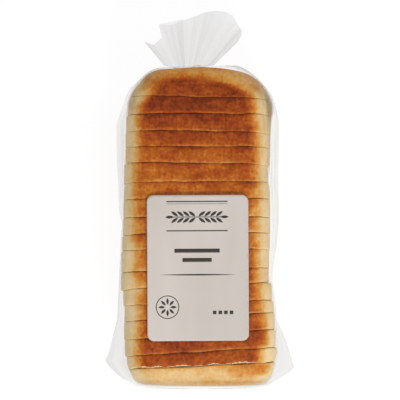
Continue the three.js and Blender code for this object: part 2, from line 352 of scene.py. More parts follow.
def clearFilm():
    # Blown LDPE film: clear and glossy where it clings, grey where it is creased or seen edge on,
    # and olive edge on as painted shade of the loaf's sides. How grey it is face on and edge on
    # is stored with the shape.
    material, add = newMaterial("clearFilm")
    haze = add("Attribute", attribute_name="haze", out="Fac")
    edge = add("Attribute", attribute_name="edge", out="Fac")
    edgeOn = add("LayerWeight", {"Blend": 0.5}, out="Facing")
    steep = add("Math", {0: edgeOn, 1: filmLook["steepness"]}, operation="POWER")
    solid = add("Math", {0: steep, 1: edge, 2: haze}, operation="MULTIPLY_ADD", use_clamp=True)
    clear = add("BsdfTransparent", {"Color": (1, 1, 1, 1)})
    # The veil darkens to olive with the edge attribute: painted shade of the loaf's sides.
    veil = add(
        "Mix",
        {0: edge, 6: linear(filmLook["veil"]), 7: linear(filmLook["edgeShadeVeil"])},
        data_type="RGBA",
        out=2,
    )
    shader = add(
        "BsdfPrincipled",
        {
            "Base Color": veil,
            "Roughness": filmLook["gloss"],
            "Specular IOR Level": filmLook["specular"],
        },
    )
    mixed = add("MixShader", {0: solid, 1: clear, 2: shader})
    gloss = add("BsdfAnisotropic", {"Color": (1, 1, 1, 1), "Roughness": filmLook["gloss"]})
    glossy = add("MixShader", {0: filmLook["mirror"], 1: mixed, 2: gloss})
    add("OutputMaterial", {"Surface": glossy})
    return material


paperLook = {
    "colours": ("#cdc4bc", "#c4bbb3"),
    "waveShade": (34, 150),  # mm of the painted shade of its low waves, across and along it
    "fibre": 0.5,  # mm
    "fibreBump": (0.2, 0.05),  # strength, and height in mm
    "roughness": 0.6,
}
inkLook = {"colours": ("#241f1c", "#3a332e"), "fibre": 0.6, "roughness": 0.55}


def labelPaper():
    # Uncoated label stock: matt, slightly warm, with faint fibres and painted shade of its low
    # waves.
    material, add = newMaterial("labelPaper")
    place = add("TexCoord", out="Object")
    fibre = fineNoise(add, place, paperLook["fibre"], 3)
    waveShadeScale = (*(1 / (length * mm) for length in paperLook["waveShade"]), 1)
    broad = add("Mapping", {"Vector": place, "Scale": waveShadeScale})
    waveShade = add("TexNoise", {"Vector": broad, "Scale": 1, "Detail": 2})
    # Its two colours are the paper lit and in painted shade.
    colours = zip((0.35, 0.65), paperLook["colours"])
    colour = add("ValToRGB", {"Fac": waveShade}, stops=colours)
    strength, height = paperLook["fibreBump"]
    bump = add("Bump", {"Height": fibre, "Strength": strength, "Distance": height * mm})
    shader = add(
        "BsdfPrincipled",
        {"Base Color": colour, "Roughness": paperLook["roughness"], "Normal": bump},
    )
    add("OutputMaterial", {"Surface": shader})
    return material


def printedInk():
    # Flexographic ink: nearly black, slightly uneven where the paper's fibres show through.
    material, add = newMaterial("printedInk")
    place = add("TexCoord", out="Object")
    fibre = fineNoise(add, place, inkLook["fibre"], 3)
    colours = zip((0.35, 0.75), inkLook["colours"])
    colour = add("ValToRGB", {"Fac": fibre}, stops=colours)
    shader = add("BsdfPrincipled", {"Base Color": colour, "Roughness": inkLook["roughness"]})
    add("OutputMaterial", {"Surface": shader})
    return material


baking = {
    # How brown the lid baked the top, by place along the loaf.
    "top": [
        (-104, 0.8), (-92, 0.8), (-71, 0.74), (-41, 0.64), (0, 0.6), (36, 0.62), (49, 0.67),
        (64, 0.67), (77, 0.79), (91, 0.86), (105, 0.88), (121, 0.88), (125, 0.8), (129, 0.52),
        (134, 0.38), (139, 0.32),
    ],
    # The closed heel is pale, with a browner line where its end rounds over.
    "closedTop": [(-129, 0.14), (-126, 0.17), (-124, 0.22), (-121.5, 0.2), (-109, 0.21)],
    # Two patches of it, centre and reach in mm, are browner by the last number.
    "heelPatches": [((43, -113), (24, 6.5), 0.27), ((26, -124), (34, 2.8), 0.1)],
    # Broad patches of the rest of the top that are browner or paler by the last number.
    "patches": [
        ((-46, -42), (12, 36), -0.1), ((41, 52), (15, 20), 0.09),
        ((50, -66), (10, 6), -0.12), ((43, -35), (8, 7), 0.2),
    ],
    # Where the browned part of the top ends on each side, in mm from the slice's middle.
    "left": [
        (-113, 53), (-105, 53), (-97, 51.5), (-85, 50), (-67, 48), (-51, 47.5), (-36, 48.5),
        (-22, 47), (-14, 50), (-8, 52.5), (2, 51), (20, 50.5), (45, 50.5), (66, 49.5), (104, 49),
        (109, 44), (117, 39), (122, 36), (128, 31), (138, 22),
    ],
    "right": [
        (-106, 47), (-97, 48), (-92, 54), (-80, 53.5), (-67, 53), (-60, 51.5), (-54, 51),
        (-36, 50), (-22, 52.2), (-8, 50), (7, 48.5), (20, 51), (27, 52), (45, 50.5), (66, 51.3),
        (78, 48), (91, 46), (104, 45.5), (112, 43.5), (116, 38), (119, 31), (125, 15), (138, 6),
    ],
    "fade": 16,  # mm over which it pales
    "side": 0.06,
    "heelSide": 0.34,  # more on the neck heel
    "heelRim": (0.3, 1.2),  # and more on its rim, with the reach of that in mm
    "base": 0.42,
    "neckFace": 0.32,
    "closedFace": 0.2,
    "wander": 2.5,  # mm, of the browned part's edge
    # How much browner a slice is at its edge on the neck side, painted shade where it rounds
    # into the gap, and how much paler, so less than 0, at its torn edge on the closed side, a
    # painted highlight, with the reach of each in mm.
    "neckEdgeShade": (0.32, 1.6),
    "tornEdgeHighlight": (-0.36, 0.7),
    "milder": (76, 104),  # the painted shade of the neck-side edge grows from half to full between these places
    # Fine unevenness of the top, of its edges and of the sides: amount, size in mm, seed.
    "topNoise": [(0.05, (17, 12, 17), 11), (0.03, 5, 12)],
    "edgeNoise": [(0.9, (13, 8, 13), 14)],
    "sideNoise": [(0.08, 22, 13)],
}


def patchShare(patch, x, y):
    # 1 in the middle of a patch, falling to 0 past its reach.
    (patchX, patchY), (reachX, reachY), _ = patch
    away = ((x - patchX) / reachX) ** 2 + ((y - patchY) / reachY) ** 2
    return np.exp(-(away**2))


def browningAt(points, upness, number, fromNeckCut, fromClosedCut):
    # Browning from 0 to 1: the lid's strong brown on the top's flat middle fades across
    # the shoulders to pale side walls, and the base is golden.
    x, y, z = np.moveaxis(points, -1, 0)
    x = x - shifts[number]
    wander = baking["wander"] * softNoise(points, (40, 11, 40), 5)
    beyond = np.maximum(x - along(baking["right"], y), -x - along(baking["left"], y)) + wander
    lid = 1 - smooth(beyond, -baking["fade"] * 0.5, baking["fade"] * 0.5)
    top = along(baking["top"], y)
    for patch in baking["patches"]:
        top = top + patch[2] * patchShare(patch, x, y)
    if number == lastSlice:
        top = along(baking["closedTop"], y)
        for patch in baking["heelPatches"]:
            share = patchShare(patch, x, y)
            top = top + patch[2] * share
            lid = np.maximum(lid, share)
    top = top + layered(points, baking["topNoise"])
    uneven = 1 + layered(points, baking["edgeNoise"])
    milder = 0.5 + 0.5 * smooth(y, *baking["milder"])
    # Painted shade along each neck-side cut edge and a painted highlight along each torn one.
    for name, share, away in (("neckEdgeShade", milder, fromNeckCut), ("tornEdgeHighlight", 1, fromClosedCut)):
        amount, reach = baking[name]
        top = top + amount * share * uneven * np.exp(-away / reach)
    low = smooth(z, 30, 4)
    side = baking["side"] + (baking["base"] - baking["side"]) * low
    side = side + layered(points, baking["sideNoise"])
    # The neck heel is browner round its rim, but less so at the right corner and far out.
    if number == 0:
        paler = 0.5 * smooth(x, 15, 40) * smooth(y, 117, 123)
        paler = np.maximum(paler, 0.6 * smooth(np.abs(x), 44, 52))
        side = side + baking["heelSide"] * smooth(y, 106, 122) * (1 - paler)
    lid = lid * smooth(upness, 0.35, 0.8)
    brown = side + (top - side) * lid
    if number == 0:
        amount, reach = baking["heelRim"]
        brown = brown + amount * np.exp((farOff - fromNeckCut) / reach)
    return np.clip(brown, 0.02, 1)


sliceShape = {
    "counts": (26, 20, 60, 30, 8, 46),  # points along wall, shoulder, top, wall, corner, base
    "band": 11,  # rings across the crust
    "heelBand": 26,
    "face": (0.1, 0.3, 0.5, 0.7, 0.86, 0.94),  # rings across a cut face
    "crustDepth": 0.965,  # the scale at which the brown section of the crust ends
    "gap": 0.22,  # between neighbouring slices
    # How far each cut gapes, from the neck end, as a share of it.
    "gapes": (0.3, 1.1, 0.7, 0.7, 0.25, 0.3, 0.8, 1.2, 1.3, 0.8, 1.2, 0.5, 0.8, 0.6, 1, 1.2, 0.9),
    "pressed": 0.5,  # how much of it is closed at the sides
    "end": 0.8,  # from a heel's end to the film
    "cutWander": 0.45,
    "tear": (0.35, 1.3),  # how wide the blade tore the crust off the crumb
    "tearNoise": [(0.6, 5, 31), (0.5, 1.8, 32), (0.5, 14, 33)],
    "ragged": {17: 2.2},  # slices whose tear is so many times as wide
    "roundedBy": 0.6,  # of the crust's edge on the neck side of each slice
    # Rings of the torn edge, and of the rounded one: inset and distance from the cut as
    # shares of the tear or of the rounding, and how bare the crumb is.
    "tornRings": ((1, 0, 0.42), (0.45, 0.3, 0.25), (0.12, 0.75, 0.1)),
    "roundedRings": ((0.12, 0.3, 0), (0.55, 0, 0.15)),
    "edgeDrop": 0.42,  # how far the top crust sinks beside a cut
    "edgeReach": 1.5,
    "below": (1.6, 0.35, 0.25),  # how far the slices' tops are below the lid, and its spread
    "relief": [(0.3, 26, 41), (0.14, 6, 42), (0.07, 2.4, 43)],
    "pits": [(0.18, 2.2, 44)],  # in the crumb
    "sag": 0.5,  # of the middle of the top
    "cave": 1.6,  # of the side walls
    "dome": 1.6,  # of the heels' end faces
    "floor": 0.5,  # the film under the loaf
}


def cutPlace(edge, x, z, side):
    # How far along the loaf one face of a cut lies at x, z: the cut's plane leans and
    # turns, and wanders as the blade did, and the slices gape unevenly on each side of it.
    # Each cut reads the noise at a place of its own.
    flat = edges[edge] + lean * (z - middle) + edgeTurns[edge] * x
    if edge in (0, len(sliceSizes)):
        return flat + side * sliceShape["end"]
    wander = softNoise(stacked(x, 31.0 * edge, z), 16, 21)
    wander = wander + 0.4 * softNoise(stacked(x, 17.0 * edge, z), 4.5, 22)
    gape = sliceShape["gapes"][edge - 1]
    gape = np.maximum(gape + 1.3 * softNoise(stacked(x, 23.0 * edge, z), (26, 5, 26), 23), 0.1)
    gape = gape * (1 - sliceShape["pressed"] * smooth(np.abs(x), 48, 56))
    return flat + sliceShape["cutWander"] * wander + side * sliceShape["gap"] / 2 * gape


def sliceRings(number, columns):
    # The rings of a slice from its face on the closed side to its face on the neck side.
    # Each has a scale towards the middle, an inset from the loaf's outline, a distance
    # ahead of the cut, its share of the way between the two cuts, and how bare its crumb is.
    shape = sliceShape
    closedEnd, neckEnd = number == lastSlice, number == 0
    angle = np.arange(columns) * 2 * math.pi / columns
    circle = stacked(30 * np.cos(angle), 30 * np.sin(angle), 9.0 * number)
    rough = layered(circle, shape["tearNoise"])
    low, high = shape["tear"]
    ragged = shape["ragged"].get(number + 1, 1)
    tear = np.clip(low + (high - low) * (0.5 + rough) * ragged, 0.15, high * ragged)
    if closedEnd:
        tear = tear * 0 + 0.6
    rings = [(s, tear, 0, 0, 1) for s in shape["face"]]
    rings.append((shape["crustDepth"], tear, 0, 0, 0.3))
    for inset, ahead, bare in shape["tornRings"]:
        rings.append((1, tear * inset, tear * ahead, 0, min(bare * ragged**2, 1)))
    roundedBy = shape["roundedBy"]
    for s in np.linspace(0, 1, shape["heelBand"] if closedEnd or neckEnd else shape["band"]):
        rings.append((1, 0, (1 - s) * (tear + 0.05) - s * roundedBy, s, 0))
    for inset, behind, bare in shape["roundedRings"]:
        rings.append((1, inset * roundedBy, -behind * roundedBy, 1, bare))
    # The cut face on the neck side goes on from the last of these rings.
    rings.append((shape["crustDepth"], inset * roundedBy, 0, 1, bare))
    rings += [(s, inset * roundedBy, 0, 1, 1) for s in reversed(shape["face"])]
    table = [np.broadcast_arrays(*ring, tear)[:5] for ring in rings]
    return np.moveaxis(np.array(table, float), 1, 0)


def addSlice(number, material):
    # A slice lofted through its rings, each of them the loaf's outline at its place.
    shape = sliceShape
    closedEnd, neckEnd = number == lastSlice, number == 0
    wall, shoulder, crown, lower, corner, floor = shape["counts"]
    columns = crown + floor + 2 * (wall + shoulder + lower + corner)
    scale, inset, ahead, share, crumb = sliceRings(number, columns)

    start, end = edges[number + 1], edges[number]
    place = (start + (end - start) * share + ahead).mean(axis=1)
    section = crossSection(place)
    x, z, nx, nz, side = outline(section, shape["counts"])
    mean, first, second = shape["below"]
    below = mean - first * math.sin(number * 1.9) - second * math.sin(number * 4.3)
    z = shape["floor"] + z * (1 - below / loaf["height"])
    run = place[:, None]
    relief = layered(stacked(x, run, z), shape["relief"])
    fromClosedCut = np.abs(run - start) + farOff * closedEnd
    fromNeckCut = np.abs(end - run) + farOff * neckEnd
    for away in (fromClosedCut, fromNeckCut):
        sunk = shape["edgeDrop"] * np.exp(-away / shape["edgeReach"])
        relief = relief - sunk * (0.2 + 0.8 * smooth(nz, 0.45, 0.9))
    relief = relief - shape["cave"] * smooth(side, 0, 1)
    relief = relief - shape["sag"] * np.clip(nz, 0, 1) * np.clip(1 - (x / 45) ** 2, 0, 1)
    x = x + nx * (relief - inset)
    z = np.maximum(z + nz * (relief - inset), shape["floor"])
    centreZ = section["top"].mean() / 2
    x = x * scale + shifts[number]
    z = centreZ + (z - centreZ) * scale
    closedY = cutPlace(number + 1, x, z, 1)
    neckY = cutPlace(number, x, z, -1)
    dome = shape["dome"] * (1 - scale**2)
    y = closedY + (neckY - closedY) * share + ahead + heelSwell(x, run)
    y = y + dome * (share == 1) * neckEnd - dome * (share == 0) * closedEnd
    pit = layered(stacked(x, y, z), shape["pits"]) * (scale < 1)
    y = y + pit * np.where(share > 0.5, 1, -1)

    points = stacked(x, y, z)
    brown = browningAt(points, nz + 0 * x, number, fromNeckCut, fromClosedCut)
    if closedEnd:
        crumb = np.where(share == 0, 0, crumb)
        faceBrown = baking["closedFace"] + 0.1 * softNoise(points, 20, 51)
        brown = np.where((share == 0) & (inset > 0.05), np.maximum(faceBrown, 0.05), brown)
    if neckEnd:
        crumb = np.where(share == 1, 0, crumb)
        faceBrown = baking["neckFace"] + 0.1 * softNoise(points, 20, 52)
        brown = np.where((share == 1) & (scale < 1), faceBrown, brown)
    values = {"browning": withHubs(brown), "crumb": withHubs(crumb)}
    name = "neck_heel" if neckEnd else "closed_heel" if closedEnd else f"slice_{number + 1:02d}"
    addPiece(name, withHubs(points), ringFaces(*x.shape), material, values)


film = {
    "counts": (22, 28, 64, 30, 9, 44),
    "standOff": 1.0,
    "dip": 0.5,  # at each cut
    "dipHalfWidth": 1.8,
    "closedBulge": 2.4,
    "step": 1.25,  # between rings along the loaf
    "fin": 0.8,  # the welded edge that stands out along each side
    "pucker": 0.8,
    "puff": (31, 10, 2.8),  # slack film on the heel's rim, right of the tail: x, reach, rise
    "cling": 0.16,
    # How much of its grey veil the film has where it clings, is slack, and at the ears.
    "clear": 0.004,
    "slack": 0.12,
    "ears": 0.125,
    "closed": 0.05,  # on the closed end, more on its fold and creases
    "wrinkled": 0.22,  # more in fine wrinkles on the shoulders near the neck
    # How much it has where it is seen edge on: everywhere, and as painted shade of the loaf's
    # sides where it turns down over the shoulders, at the closed end and near the neck.
    "edge": 0.03,
    "bend": (0.68, 0.95),
    "rim": ((62, 105), (7, 18), 0.15),  # a fold on the right shoulder, and painted shade there: place, reach, veil
    "creaseWidth": 0.75,
    "creaseHeight": 0.35,
}
# Creases where the neck pulls at the film over the shoulders: places (y, x) along each and
# how grey it is.
creases = [
    ([(122, -50.2), (113, -53.5), (103.5, -51.3)], 0.28),
    ([(110, -54.5), (104, -55), (96, -53)], 0.22),
    ([(128, -40), (120, -47), (113, -49)], 0.16),
    ([(125, 45), (115.4, 51.5), (100, 55)], 0.22),
    ([(124, 50.5), (113.3, 56.9), (93, 58)], 0.34),
    ([(119.7, 54.2), (109, 60.3), (96, 60.5)], 0.3),
    ([(127, 39), (120, 46), (112, 49)], 0.14),
    ([(104, 52), (92, 54.5), (80, 55)], 0.16),
    ([(102, 59.3), (84, 59), (66, 58.9), (44, 58.9)], 0.3),
]
# How far the slack side seams reach from the middle, by place along the loaf. The ears of
# the closed end are their widest points.
leftSeam = [
    (-132.3, 53), (-125.3, 66), (-117.6, 74), (-111, 79), (-104, 75.6), (-90, 72), (-76, 68.4),
    (-49, 67.2), (-28, 66.4), (-1, 65.5), (6, 64.7), (13, 66.2), (20, 67.3), (40, 68), (54, 69.2),
    (75, 69.8), (89, 69.6), (95.4, 68.3), (102, 65.9), (109, 63.1), (116, 61.3), (123, 57.2),
    (130, 46), (132.3, 38),
]
rightSeam = [
    (-132.3, 60), (-126.3, 70), (-120, 79.5), (-118, 82.2), (-110.7, 80.4), (-97, 76.2),
    (-90, 73.4), (-76.4, 67), (-62.6, 66.1), (-49, 64.5), (-42, 63.9), (-28, 64.5), (-7.7, 66.9),
    (6, 68.1), (61, 68.3), (82, 68.5), (95.4, 68.1), (102.3, 67), (109, 65.4), (116, 63.3),
    (123, 58), (129, 49), (132.3, 40),
]
neck = {
    "middle": -9,
    "start": 137.6,
    "length": 2.4,
    "halfWidth": 11,
    "halfHeight": 5,
    "height": 52,
    "pleats": 15,
    "depth": 1.2,
    "bulge": (1.1, 0.07),  # of the film drawn in to it, and how its pleats vary that
    "puff": (35, 15, 3),  # the same puff beyond the rim: x, reach, rise
    "veil": (0.035, 0.02, 0.05),  # more in its pleats and in the puff
}
tail = {
    "origin": (-10.3, 119.7),
    "heading": 3,
    "halfAngle": 43,
    "rise": 0.16,
    "halfThickness": 3.4,
    "rings": 56,
    "opened": 0.12,  # the share of the way out where the neck has opened to a fan
    "pleat": 1.3,
    "wave": 1.4,
    "mouth": 2.5,  # how far the upper layer falls short of the lower one
    "veil": 0.14,
}
# The cut edge of the tail as (degrees from straight on, distance from the fan's origin).
tailEdge = [
    (-40, 56), (-35, 49.1), (-24, 51), (-22.3, 62.8), (-12, 61.3), (0.5, 62.4), (8, 66.3),
    (13, 70), (21, 74), (27, 76), (31.5, 76.3), (35, 74), (42.3, 70.8), (44.5, 68), (46, 61.7),
]
label = {
    "width": 83.2,
    "length": 119.6,
    "corner": 5.5,
    "middle": (-0.15, -29),
    "turn": 0.3,
    "height": 114.25,
    "thickness": 0.16,
    "ripple": [(0.16, (60, 15, 10), 61), (0.16, 34, 62)],
    "bridge": 3,  # over which the film comes back up past its edges
    "counts": (12, 13, 34),  # points round a corner, steps between them, rings
}


def labelShare(x, y):
    # 1 under the stiff label, fading to 0 a little way past its edges.
    beyondX = np.abs(x - label["middle"][0]) - label["width"] / 2
    beyondY = np.abs(y - label["middle"][1]) - label["length"] / 2
    return 1 - smooth(np.maximum(beyondX, beyondY), 0, label["bridge"])


def labelRipple(x, y):
    # The paper's own low waves, which the film under it shares.
    return layered(stacked(x, y, 0), label["ripple"])


def bodyRings():
    # The filled part of the film: the loaf's outline with its stand-off, pushed out to the
    # side seams, dipping at each cut, and rippled most where it is slack.
    half = loaf["length"] / 2
    place = np.linspace(-half, half, round(loaf["length"] / film["step"]) + 1)
    place = half * np.sign(place) * (1 - (1 - np.abs(place) / half) ** 1.08)
    section = crossSection(place, film["standOff"])
    x, z, nx, nz, side = outline(section, film["counts"])
    column = place[:, None]
    ear = smooth(-column, 70, 100)
    sharpness = 1.3 + 1.3 * ear
    middles = (edges[:-1] + edges[1:]) / 2
    shift = along(zip(middles, shifts), column)
    turn = along(zip(edges, edgeTurns), column)
    run = column + turn * x
    seam = np.where(x > 0, along(rightSeam, run), along(leftSeam, run))
    slack = np.maximum(seam - section["halfWidth"], 0)
    pulled = slack * side**sharpness
    spread = stacked(np.where(x > 0, 40.0, -40.0), column, z)
    pucker = softNoise(spread, (50, 38, 7), 71) + 0.6 * softNoise(spread, (50, 60, 16), 72)
    pucker = pucker + 0.4 * softNoise(stacked(x, column + 0.5 * z, z), (50, 11, 60), 73)
    slackness = smooth(side, 0, 0.35) * (1 - 0.6 * smooth(side, 0.8, 1))
    wall = film["pucker"] * slackness * pucker * np.clip(slack / 6, 0.3, 1.6)
    fin = film["fin"] * smooth(side, 0.93, 1) * smooth(slack, 1, 4)
    streaks = softNoise(stacked(x, column, z), (3.2, 34, 3.2), 74)
    neckward = smooth(column, 35, 95)
    shoulder = np.clip(1 - np.abs(nz - 0.6) / 0.45, 0, 1) * (nz > 0)
    cling = (film["cling"] + 0.35 * shoulder * neckward) * streaks * (nz > -0.2)
    puffX, reach, rise = film["puff"]
    puffed = bell(x, puffX, reach) * smooth(column, 114, 130) * smooth(nz, 0, 0.3)
    y = column + lean * (z - middle) + turn * x + heelSwell(x, column) + rise * puffed
    crease = 0
    for line, grey in creases:
        near = bell(x + shift, along(line, y), film["creaseWidth"])
        ends = smooth(y, line[-1][0], line[-1][0] + 5) * smooth(y, line[0][0], line[0][0] - 5)
        crease = crease + grey * near * ends * (nz > 0)
    outward = wall + cling + film["creaseHeight"] * crease / 0.3
    newX = x + np.sign(x) * (pulled + fin) + shift * (1 - side) + nx * outward
    dips = sum(bell(column, cut, film["dipHalfWidth"]) for cut in edges[1:-1])
    under = labelShare(newX, y)
    newZ = z + (nz * outward - film["dip"] * dips * np.clip(nz, 0, 1)) * (1 - under)
    newZ = newZ + labelRipple(newX, y) * under * (nz > 0.5)
    newZ = newZ + 0.5 * slack / 6 * side * softNoise(spread, (50, 17, 60), 75)
    base = np.where(nz < -0.5, 0.15 * (1 + softNoise(stacked(x, y, 0), (9, 30, 9), 76)), 0)
    newZ = np.maximum(newZ + base, 0.02)
    # The veil: long soft streaks in the slack film, and fine wrinkles and creases over the
    # shoulders near the neck.
    loose = smooth(side, 0, 0.2)
    veil = film["slack"] + (film["ears"] - film["slack"]) * ear
    lines = softNoise(spread, (50, 55, 5), 77) + 0.5 * softNoise(spread, (50, 30, 2.4), 78)
    haze = film["clear"] + veil * loose * (1 + 0.4 * lines) * (1 + 0.2 * (x < 0))
    band = smooth(nz, 0.1, 0.4) * smooth(nz, 0.95, 0.5) * smooth(column, 68, 104)
    haze = haze + film["wrinkled"] * smooth(streaks, -0.2, 0.6) * band * (1 - loose)
    haze = haze + crease + 0.1 * smooth(-column, 124, 131) * (nz > 0.3) + 0.06 * puffed**2
    # Over the shoulders and at the right fold, the edge veil is painted shade of the loaf's
    # sides.
    bend = along([(-60, film["bend"][0]), (30, film["bend"][1])], column)
    bend = bend * smooth(half - column, 0.3, 4)
    rim = patchShare(film["rim"], x, y) * smooth(nz, 0.15, 0.35)
    haze = haze + film["rim"][2] * rim
    edge = film["edge"] + bend * smooth(nz, 0.2, 0.35) * (1 - loose)
    edge = np.clip(edge + 0.2 * rim, 0, 1)
    return stacked(newX, y, newZ), np.clip(haze, film["clear"], 1), edge


def pleatWave(columns):
    # Uneven pleats round the bag: a wave whose spacing and depth wander.
    u = np.arange(columns) / columns
    around = stacked(25 * np.cos(2 * math.pi * u), 25 * np.sin(2 * math.pi * u), 0)
    phase = 2 * math.pi * neck["pleats"] * 2 * u + 2.2 * softNoise(around, 9, 81)
    depth = 0.75 + 0.5 * softNoise(around, 7, 82)
    return depth * np.sin(phase) + 0.35 * softNoise(around, 2.2, 83)


def gathered(columns, y):
    # A ring at the neck: an oval drawn into pleats, from the right side over the top.
    index = np.arange(columns)
    half = columns // 2
    over = index <= half
    across = np.where(over, 1 - 2 * index / half, 2 * (index - half) / half - 1)
    angle = math.pi / 2 * across
    pleat = neck["depth"] * pleatWave(columns)
    x = neck["middle"] + (neck["halfWidth"] + pleat) * np.sin(angle)
    z = (neck["halfHeight"] + pleat) * np.cos(angle) * np.where(over, 1, -1)
    return stacked(x, y, neck["height"] + z), across, over


def neckRings(outer):
    # The film drawn in across the heel from its rim to the neck, in pleats that deepen,
    # with a puff of slack film at the heel's right corner.
    columns = outer.shape[0]
    inner = gathered(columns, neck["start"])[0]
    wave = pleatWave(columns)
    share = np.linspace(0, 1, 30)[1:, None, None]
    drawn = outer + (inner - outer) * share
    x, z = drawn[..., 0], drawn[..., 2]
    bulge, pleated = neck["bulge"]
    drawn[..., 1] += np.sin(math.pi * share[..., 0] ** 0.7) * (bulge + pleated * wave)
    puffX, reach, rise = neck["puff"]
    puffed = bell(x, puffX, reach) * smooth(z, 60, 85)
    drawn[..., 1] += rise * puffed * smooth(share[..., 0], 0, 0.12)
    far = np.linspace(0, 1, 5)[1:, None]
    tube = gathered(columns, neck["start"] + neck["length"] * far)[0]
    veil, inPleats, inPuff = neck["veil"]
    haze = veil + inPleats * wave + inPuff * puffed
    return np.concatenate([drawn, tube]), np.concatenate([haze, 0.04 + 0 * far * wave])


def tailRings(columns):
    # The loose end beyond the neck: rays fan out from one origin to the cut edge, in two
    # layers whose pleats flatten and spread.
    ring, across, over = gathered(columns, neck["start"] + neck["length"])
    side = np.where(over, 1, -1)
    spread = (np.arange(1, tail["rings"] + 1) / tail["rings"])[:, None]
    degrees = tail["heading"] + tail["halfAngle"] * across
    angle = np.radians(degrees)
    edge = along(tailEdge, degrees)
    mouth = tail["mouth"] * (1 + softNoise(stacked(degrees, 0, 0), 13, 91)) * over
    edge = edge - mouth * (1 - across**2)
    originX, originY = tail["origin"]
    start = (neck["start"] + neck["length"] - originY) / np.cos(angle)
    distance = start + (edge - start) * spread
    fanX = originX + distance * np.sin(angle)
    fanY = originY + distance * np.cos(angle)
    lift = np.sqrt(np.clip(1 - across**2, 0, 1)) * side
    fold = pleatWave(columns) * (1 - 0.35 * spread)
    broad = softNoise(stacked(degrees + 0 * spread, 40.0 * side, 20 * spread), (9, 9, 30), 92)
    middleZ = neck["height"] + tail["rise"] * (fanY - neck["start"])
    fanZ = middleZ + tail["halfThickness"] * lift
    waves = (tail["pleat"] * fold + tail["wave"] * broad) * (np.abs(across) < 1)
    fanZ = fanZ + waves * smooth(spread, 0, 0.4)
    opened = smooth(spread, 0, tail["opened"])
    x = ring[:, 0] + (fanX - ring[:, 0]) * opened
    z = ring[:, 2] + (fanZ - ring[:, 2]) * opened
    # The veil: fine rays, thicker folded sides, and more of it near the neck.
    rays = stacked(degrees + 0 * spread, 50.0 * side, 8 * spread)
    streak = softNoise(rays, (1.7, 9, 14), 93) + 0.7 * softNoise(rays, (6, 9, 40), 94)
    sides = smooth(np.abs(across), 0.87, 0.89) + bell(np.abs(across), 0.88, 0.014)
    haze = tail["veil"] + 0.045 * streak + 0.02 * (1 - spread) ** 2 + 0.03 * sides
    return stacked(x, fanY, z), haze


def closedRings(outer):
    # The flat closed end: rings drawn in to its middle, bulging a little, with the fold of
    # the gusset across it and creases running to the ears.
    centre = np.array([0, -loaf["length"] / 2, middle])
    share = np.linspace(0, 0.985, 26)[1:, None, None]
    drawn = outer + (centre - outer) * share
    x, z = drawn[..., 0], drawn[..., 2]
    rise = z - middle
    fold = np.exp(-np.abs(rise) / 2.2)
    diagonal = np.exp(-np.abs(np.abs(rise) - 0.62 * (np.abs(x) - 8)) / 1.6) * (np.abs(x) > 12)
    wrinkle = softNoise(stacked(x, 0, z), (15, 5, 6), 101)
    out = film["closedBulge"] * np.sin(math.pi / 2 * np.sqrt(share[..., 0]))
    fade = smooth(share[..., 0], 0, 0.25)
    drawn[..., 1] -= out + fade * (0.9 * fold + 0.8 * diagonal + 0.35 * wrinkle)
    haze = film["closed"] + 0.07 * fold + 0.06 * diagonal
    return drawn[::-1], haze[::-1]


def addFilm(material):
    # The bag in one surface, from the middle of its closed end to its open mouth.
    body, bodyHaze, bodyEdge = bodyRings()
    closed = closedRings(body[0])
    parts = [closed, (body, bodyHaze), neckRings(body[-1]), tailRings(body.shape[1])]
    rings, haze = map(np.concatenate, zip(*parts))
    edge = np.full(haze.shape, film["edge"])
    first = len(closed[0])
    edge[first : first + len(body)] = bodyEdge
    values = {"haze": withHubs(haze, False), "edge": withHubs(edge, False)}
    faces = ringFaces(*rings.shape[:2], False)
    piece = addPiece("bag_film", withHubs(rings, False), faces, material, values)
    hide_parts("bag")


def onLabel(x, y, above):
    # Points of the label's own flat plan, turned and moved to its place and laid on it.
    turn = math.radians(label["turn"])
    worldX = label["middle"][0] + x * math.cos(turn) - y * math.sin(turn)
    worldY = label["middle"][1] + x * math.sin(turn) + y * math.cos(turn)
    return stacked(worldX, worldY, label["height"] + above + labelRipple(worldX, worldY))


def addLabel(material):
    # A rounded rectangle of paper: rings from the middle of its back, round its edge, to the
    # middle of its face.
    r = label["corner"]
    cornerPoints, steps, ringCount = label["counts"]
    quarters = np.arange(-1, 3)[:, None]
    a = (quarters + np.linspace(0, 1, cornerPoints)) * math.pi / 2
    x = np.where(quarters < 1, 1, -1) * (label["width"] / 2 - r) + r * np.cos(a)
    y = np.where(quarters % 3 < 2, 1, -1) * (label["length"] / 2 - r) + r * np.sin(a)
    rim = stacked(x, y).reshape(-1, 2)
    share = np.linspace(0, 1, steps + 1)[:-1, None]
    rim = np.concatenate([a + (b - a) * share for a, b in zip(rim, np.roll(rim, -1, 0))])
    step = np.linalg.norm(rim - np.roll(rim, 1, 0), axis=1)
    rim = rim[step > 0.05]
    shares = np.linspace(0.03, 1, ringCount)
    back = [onLabel(*(rim * share).T, 0) for share in shares]
    face = [onLabel(*(rim * share).T, label["thickness"]) for share in shares[::-1]]
    rings = np.array(back + face)
    faces = ringFaces(*rings.shape[:2])
    piece = addPiece("label_paper", withHubs(rings), faces, material)
    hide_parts("label")


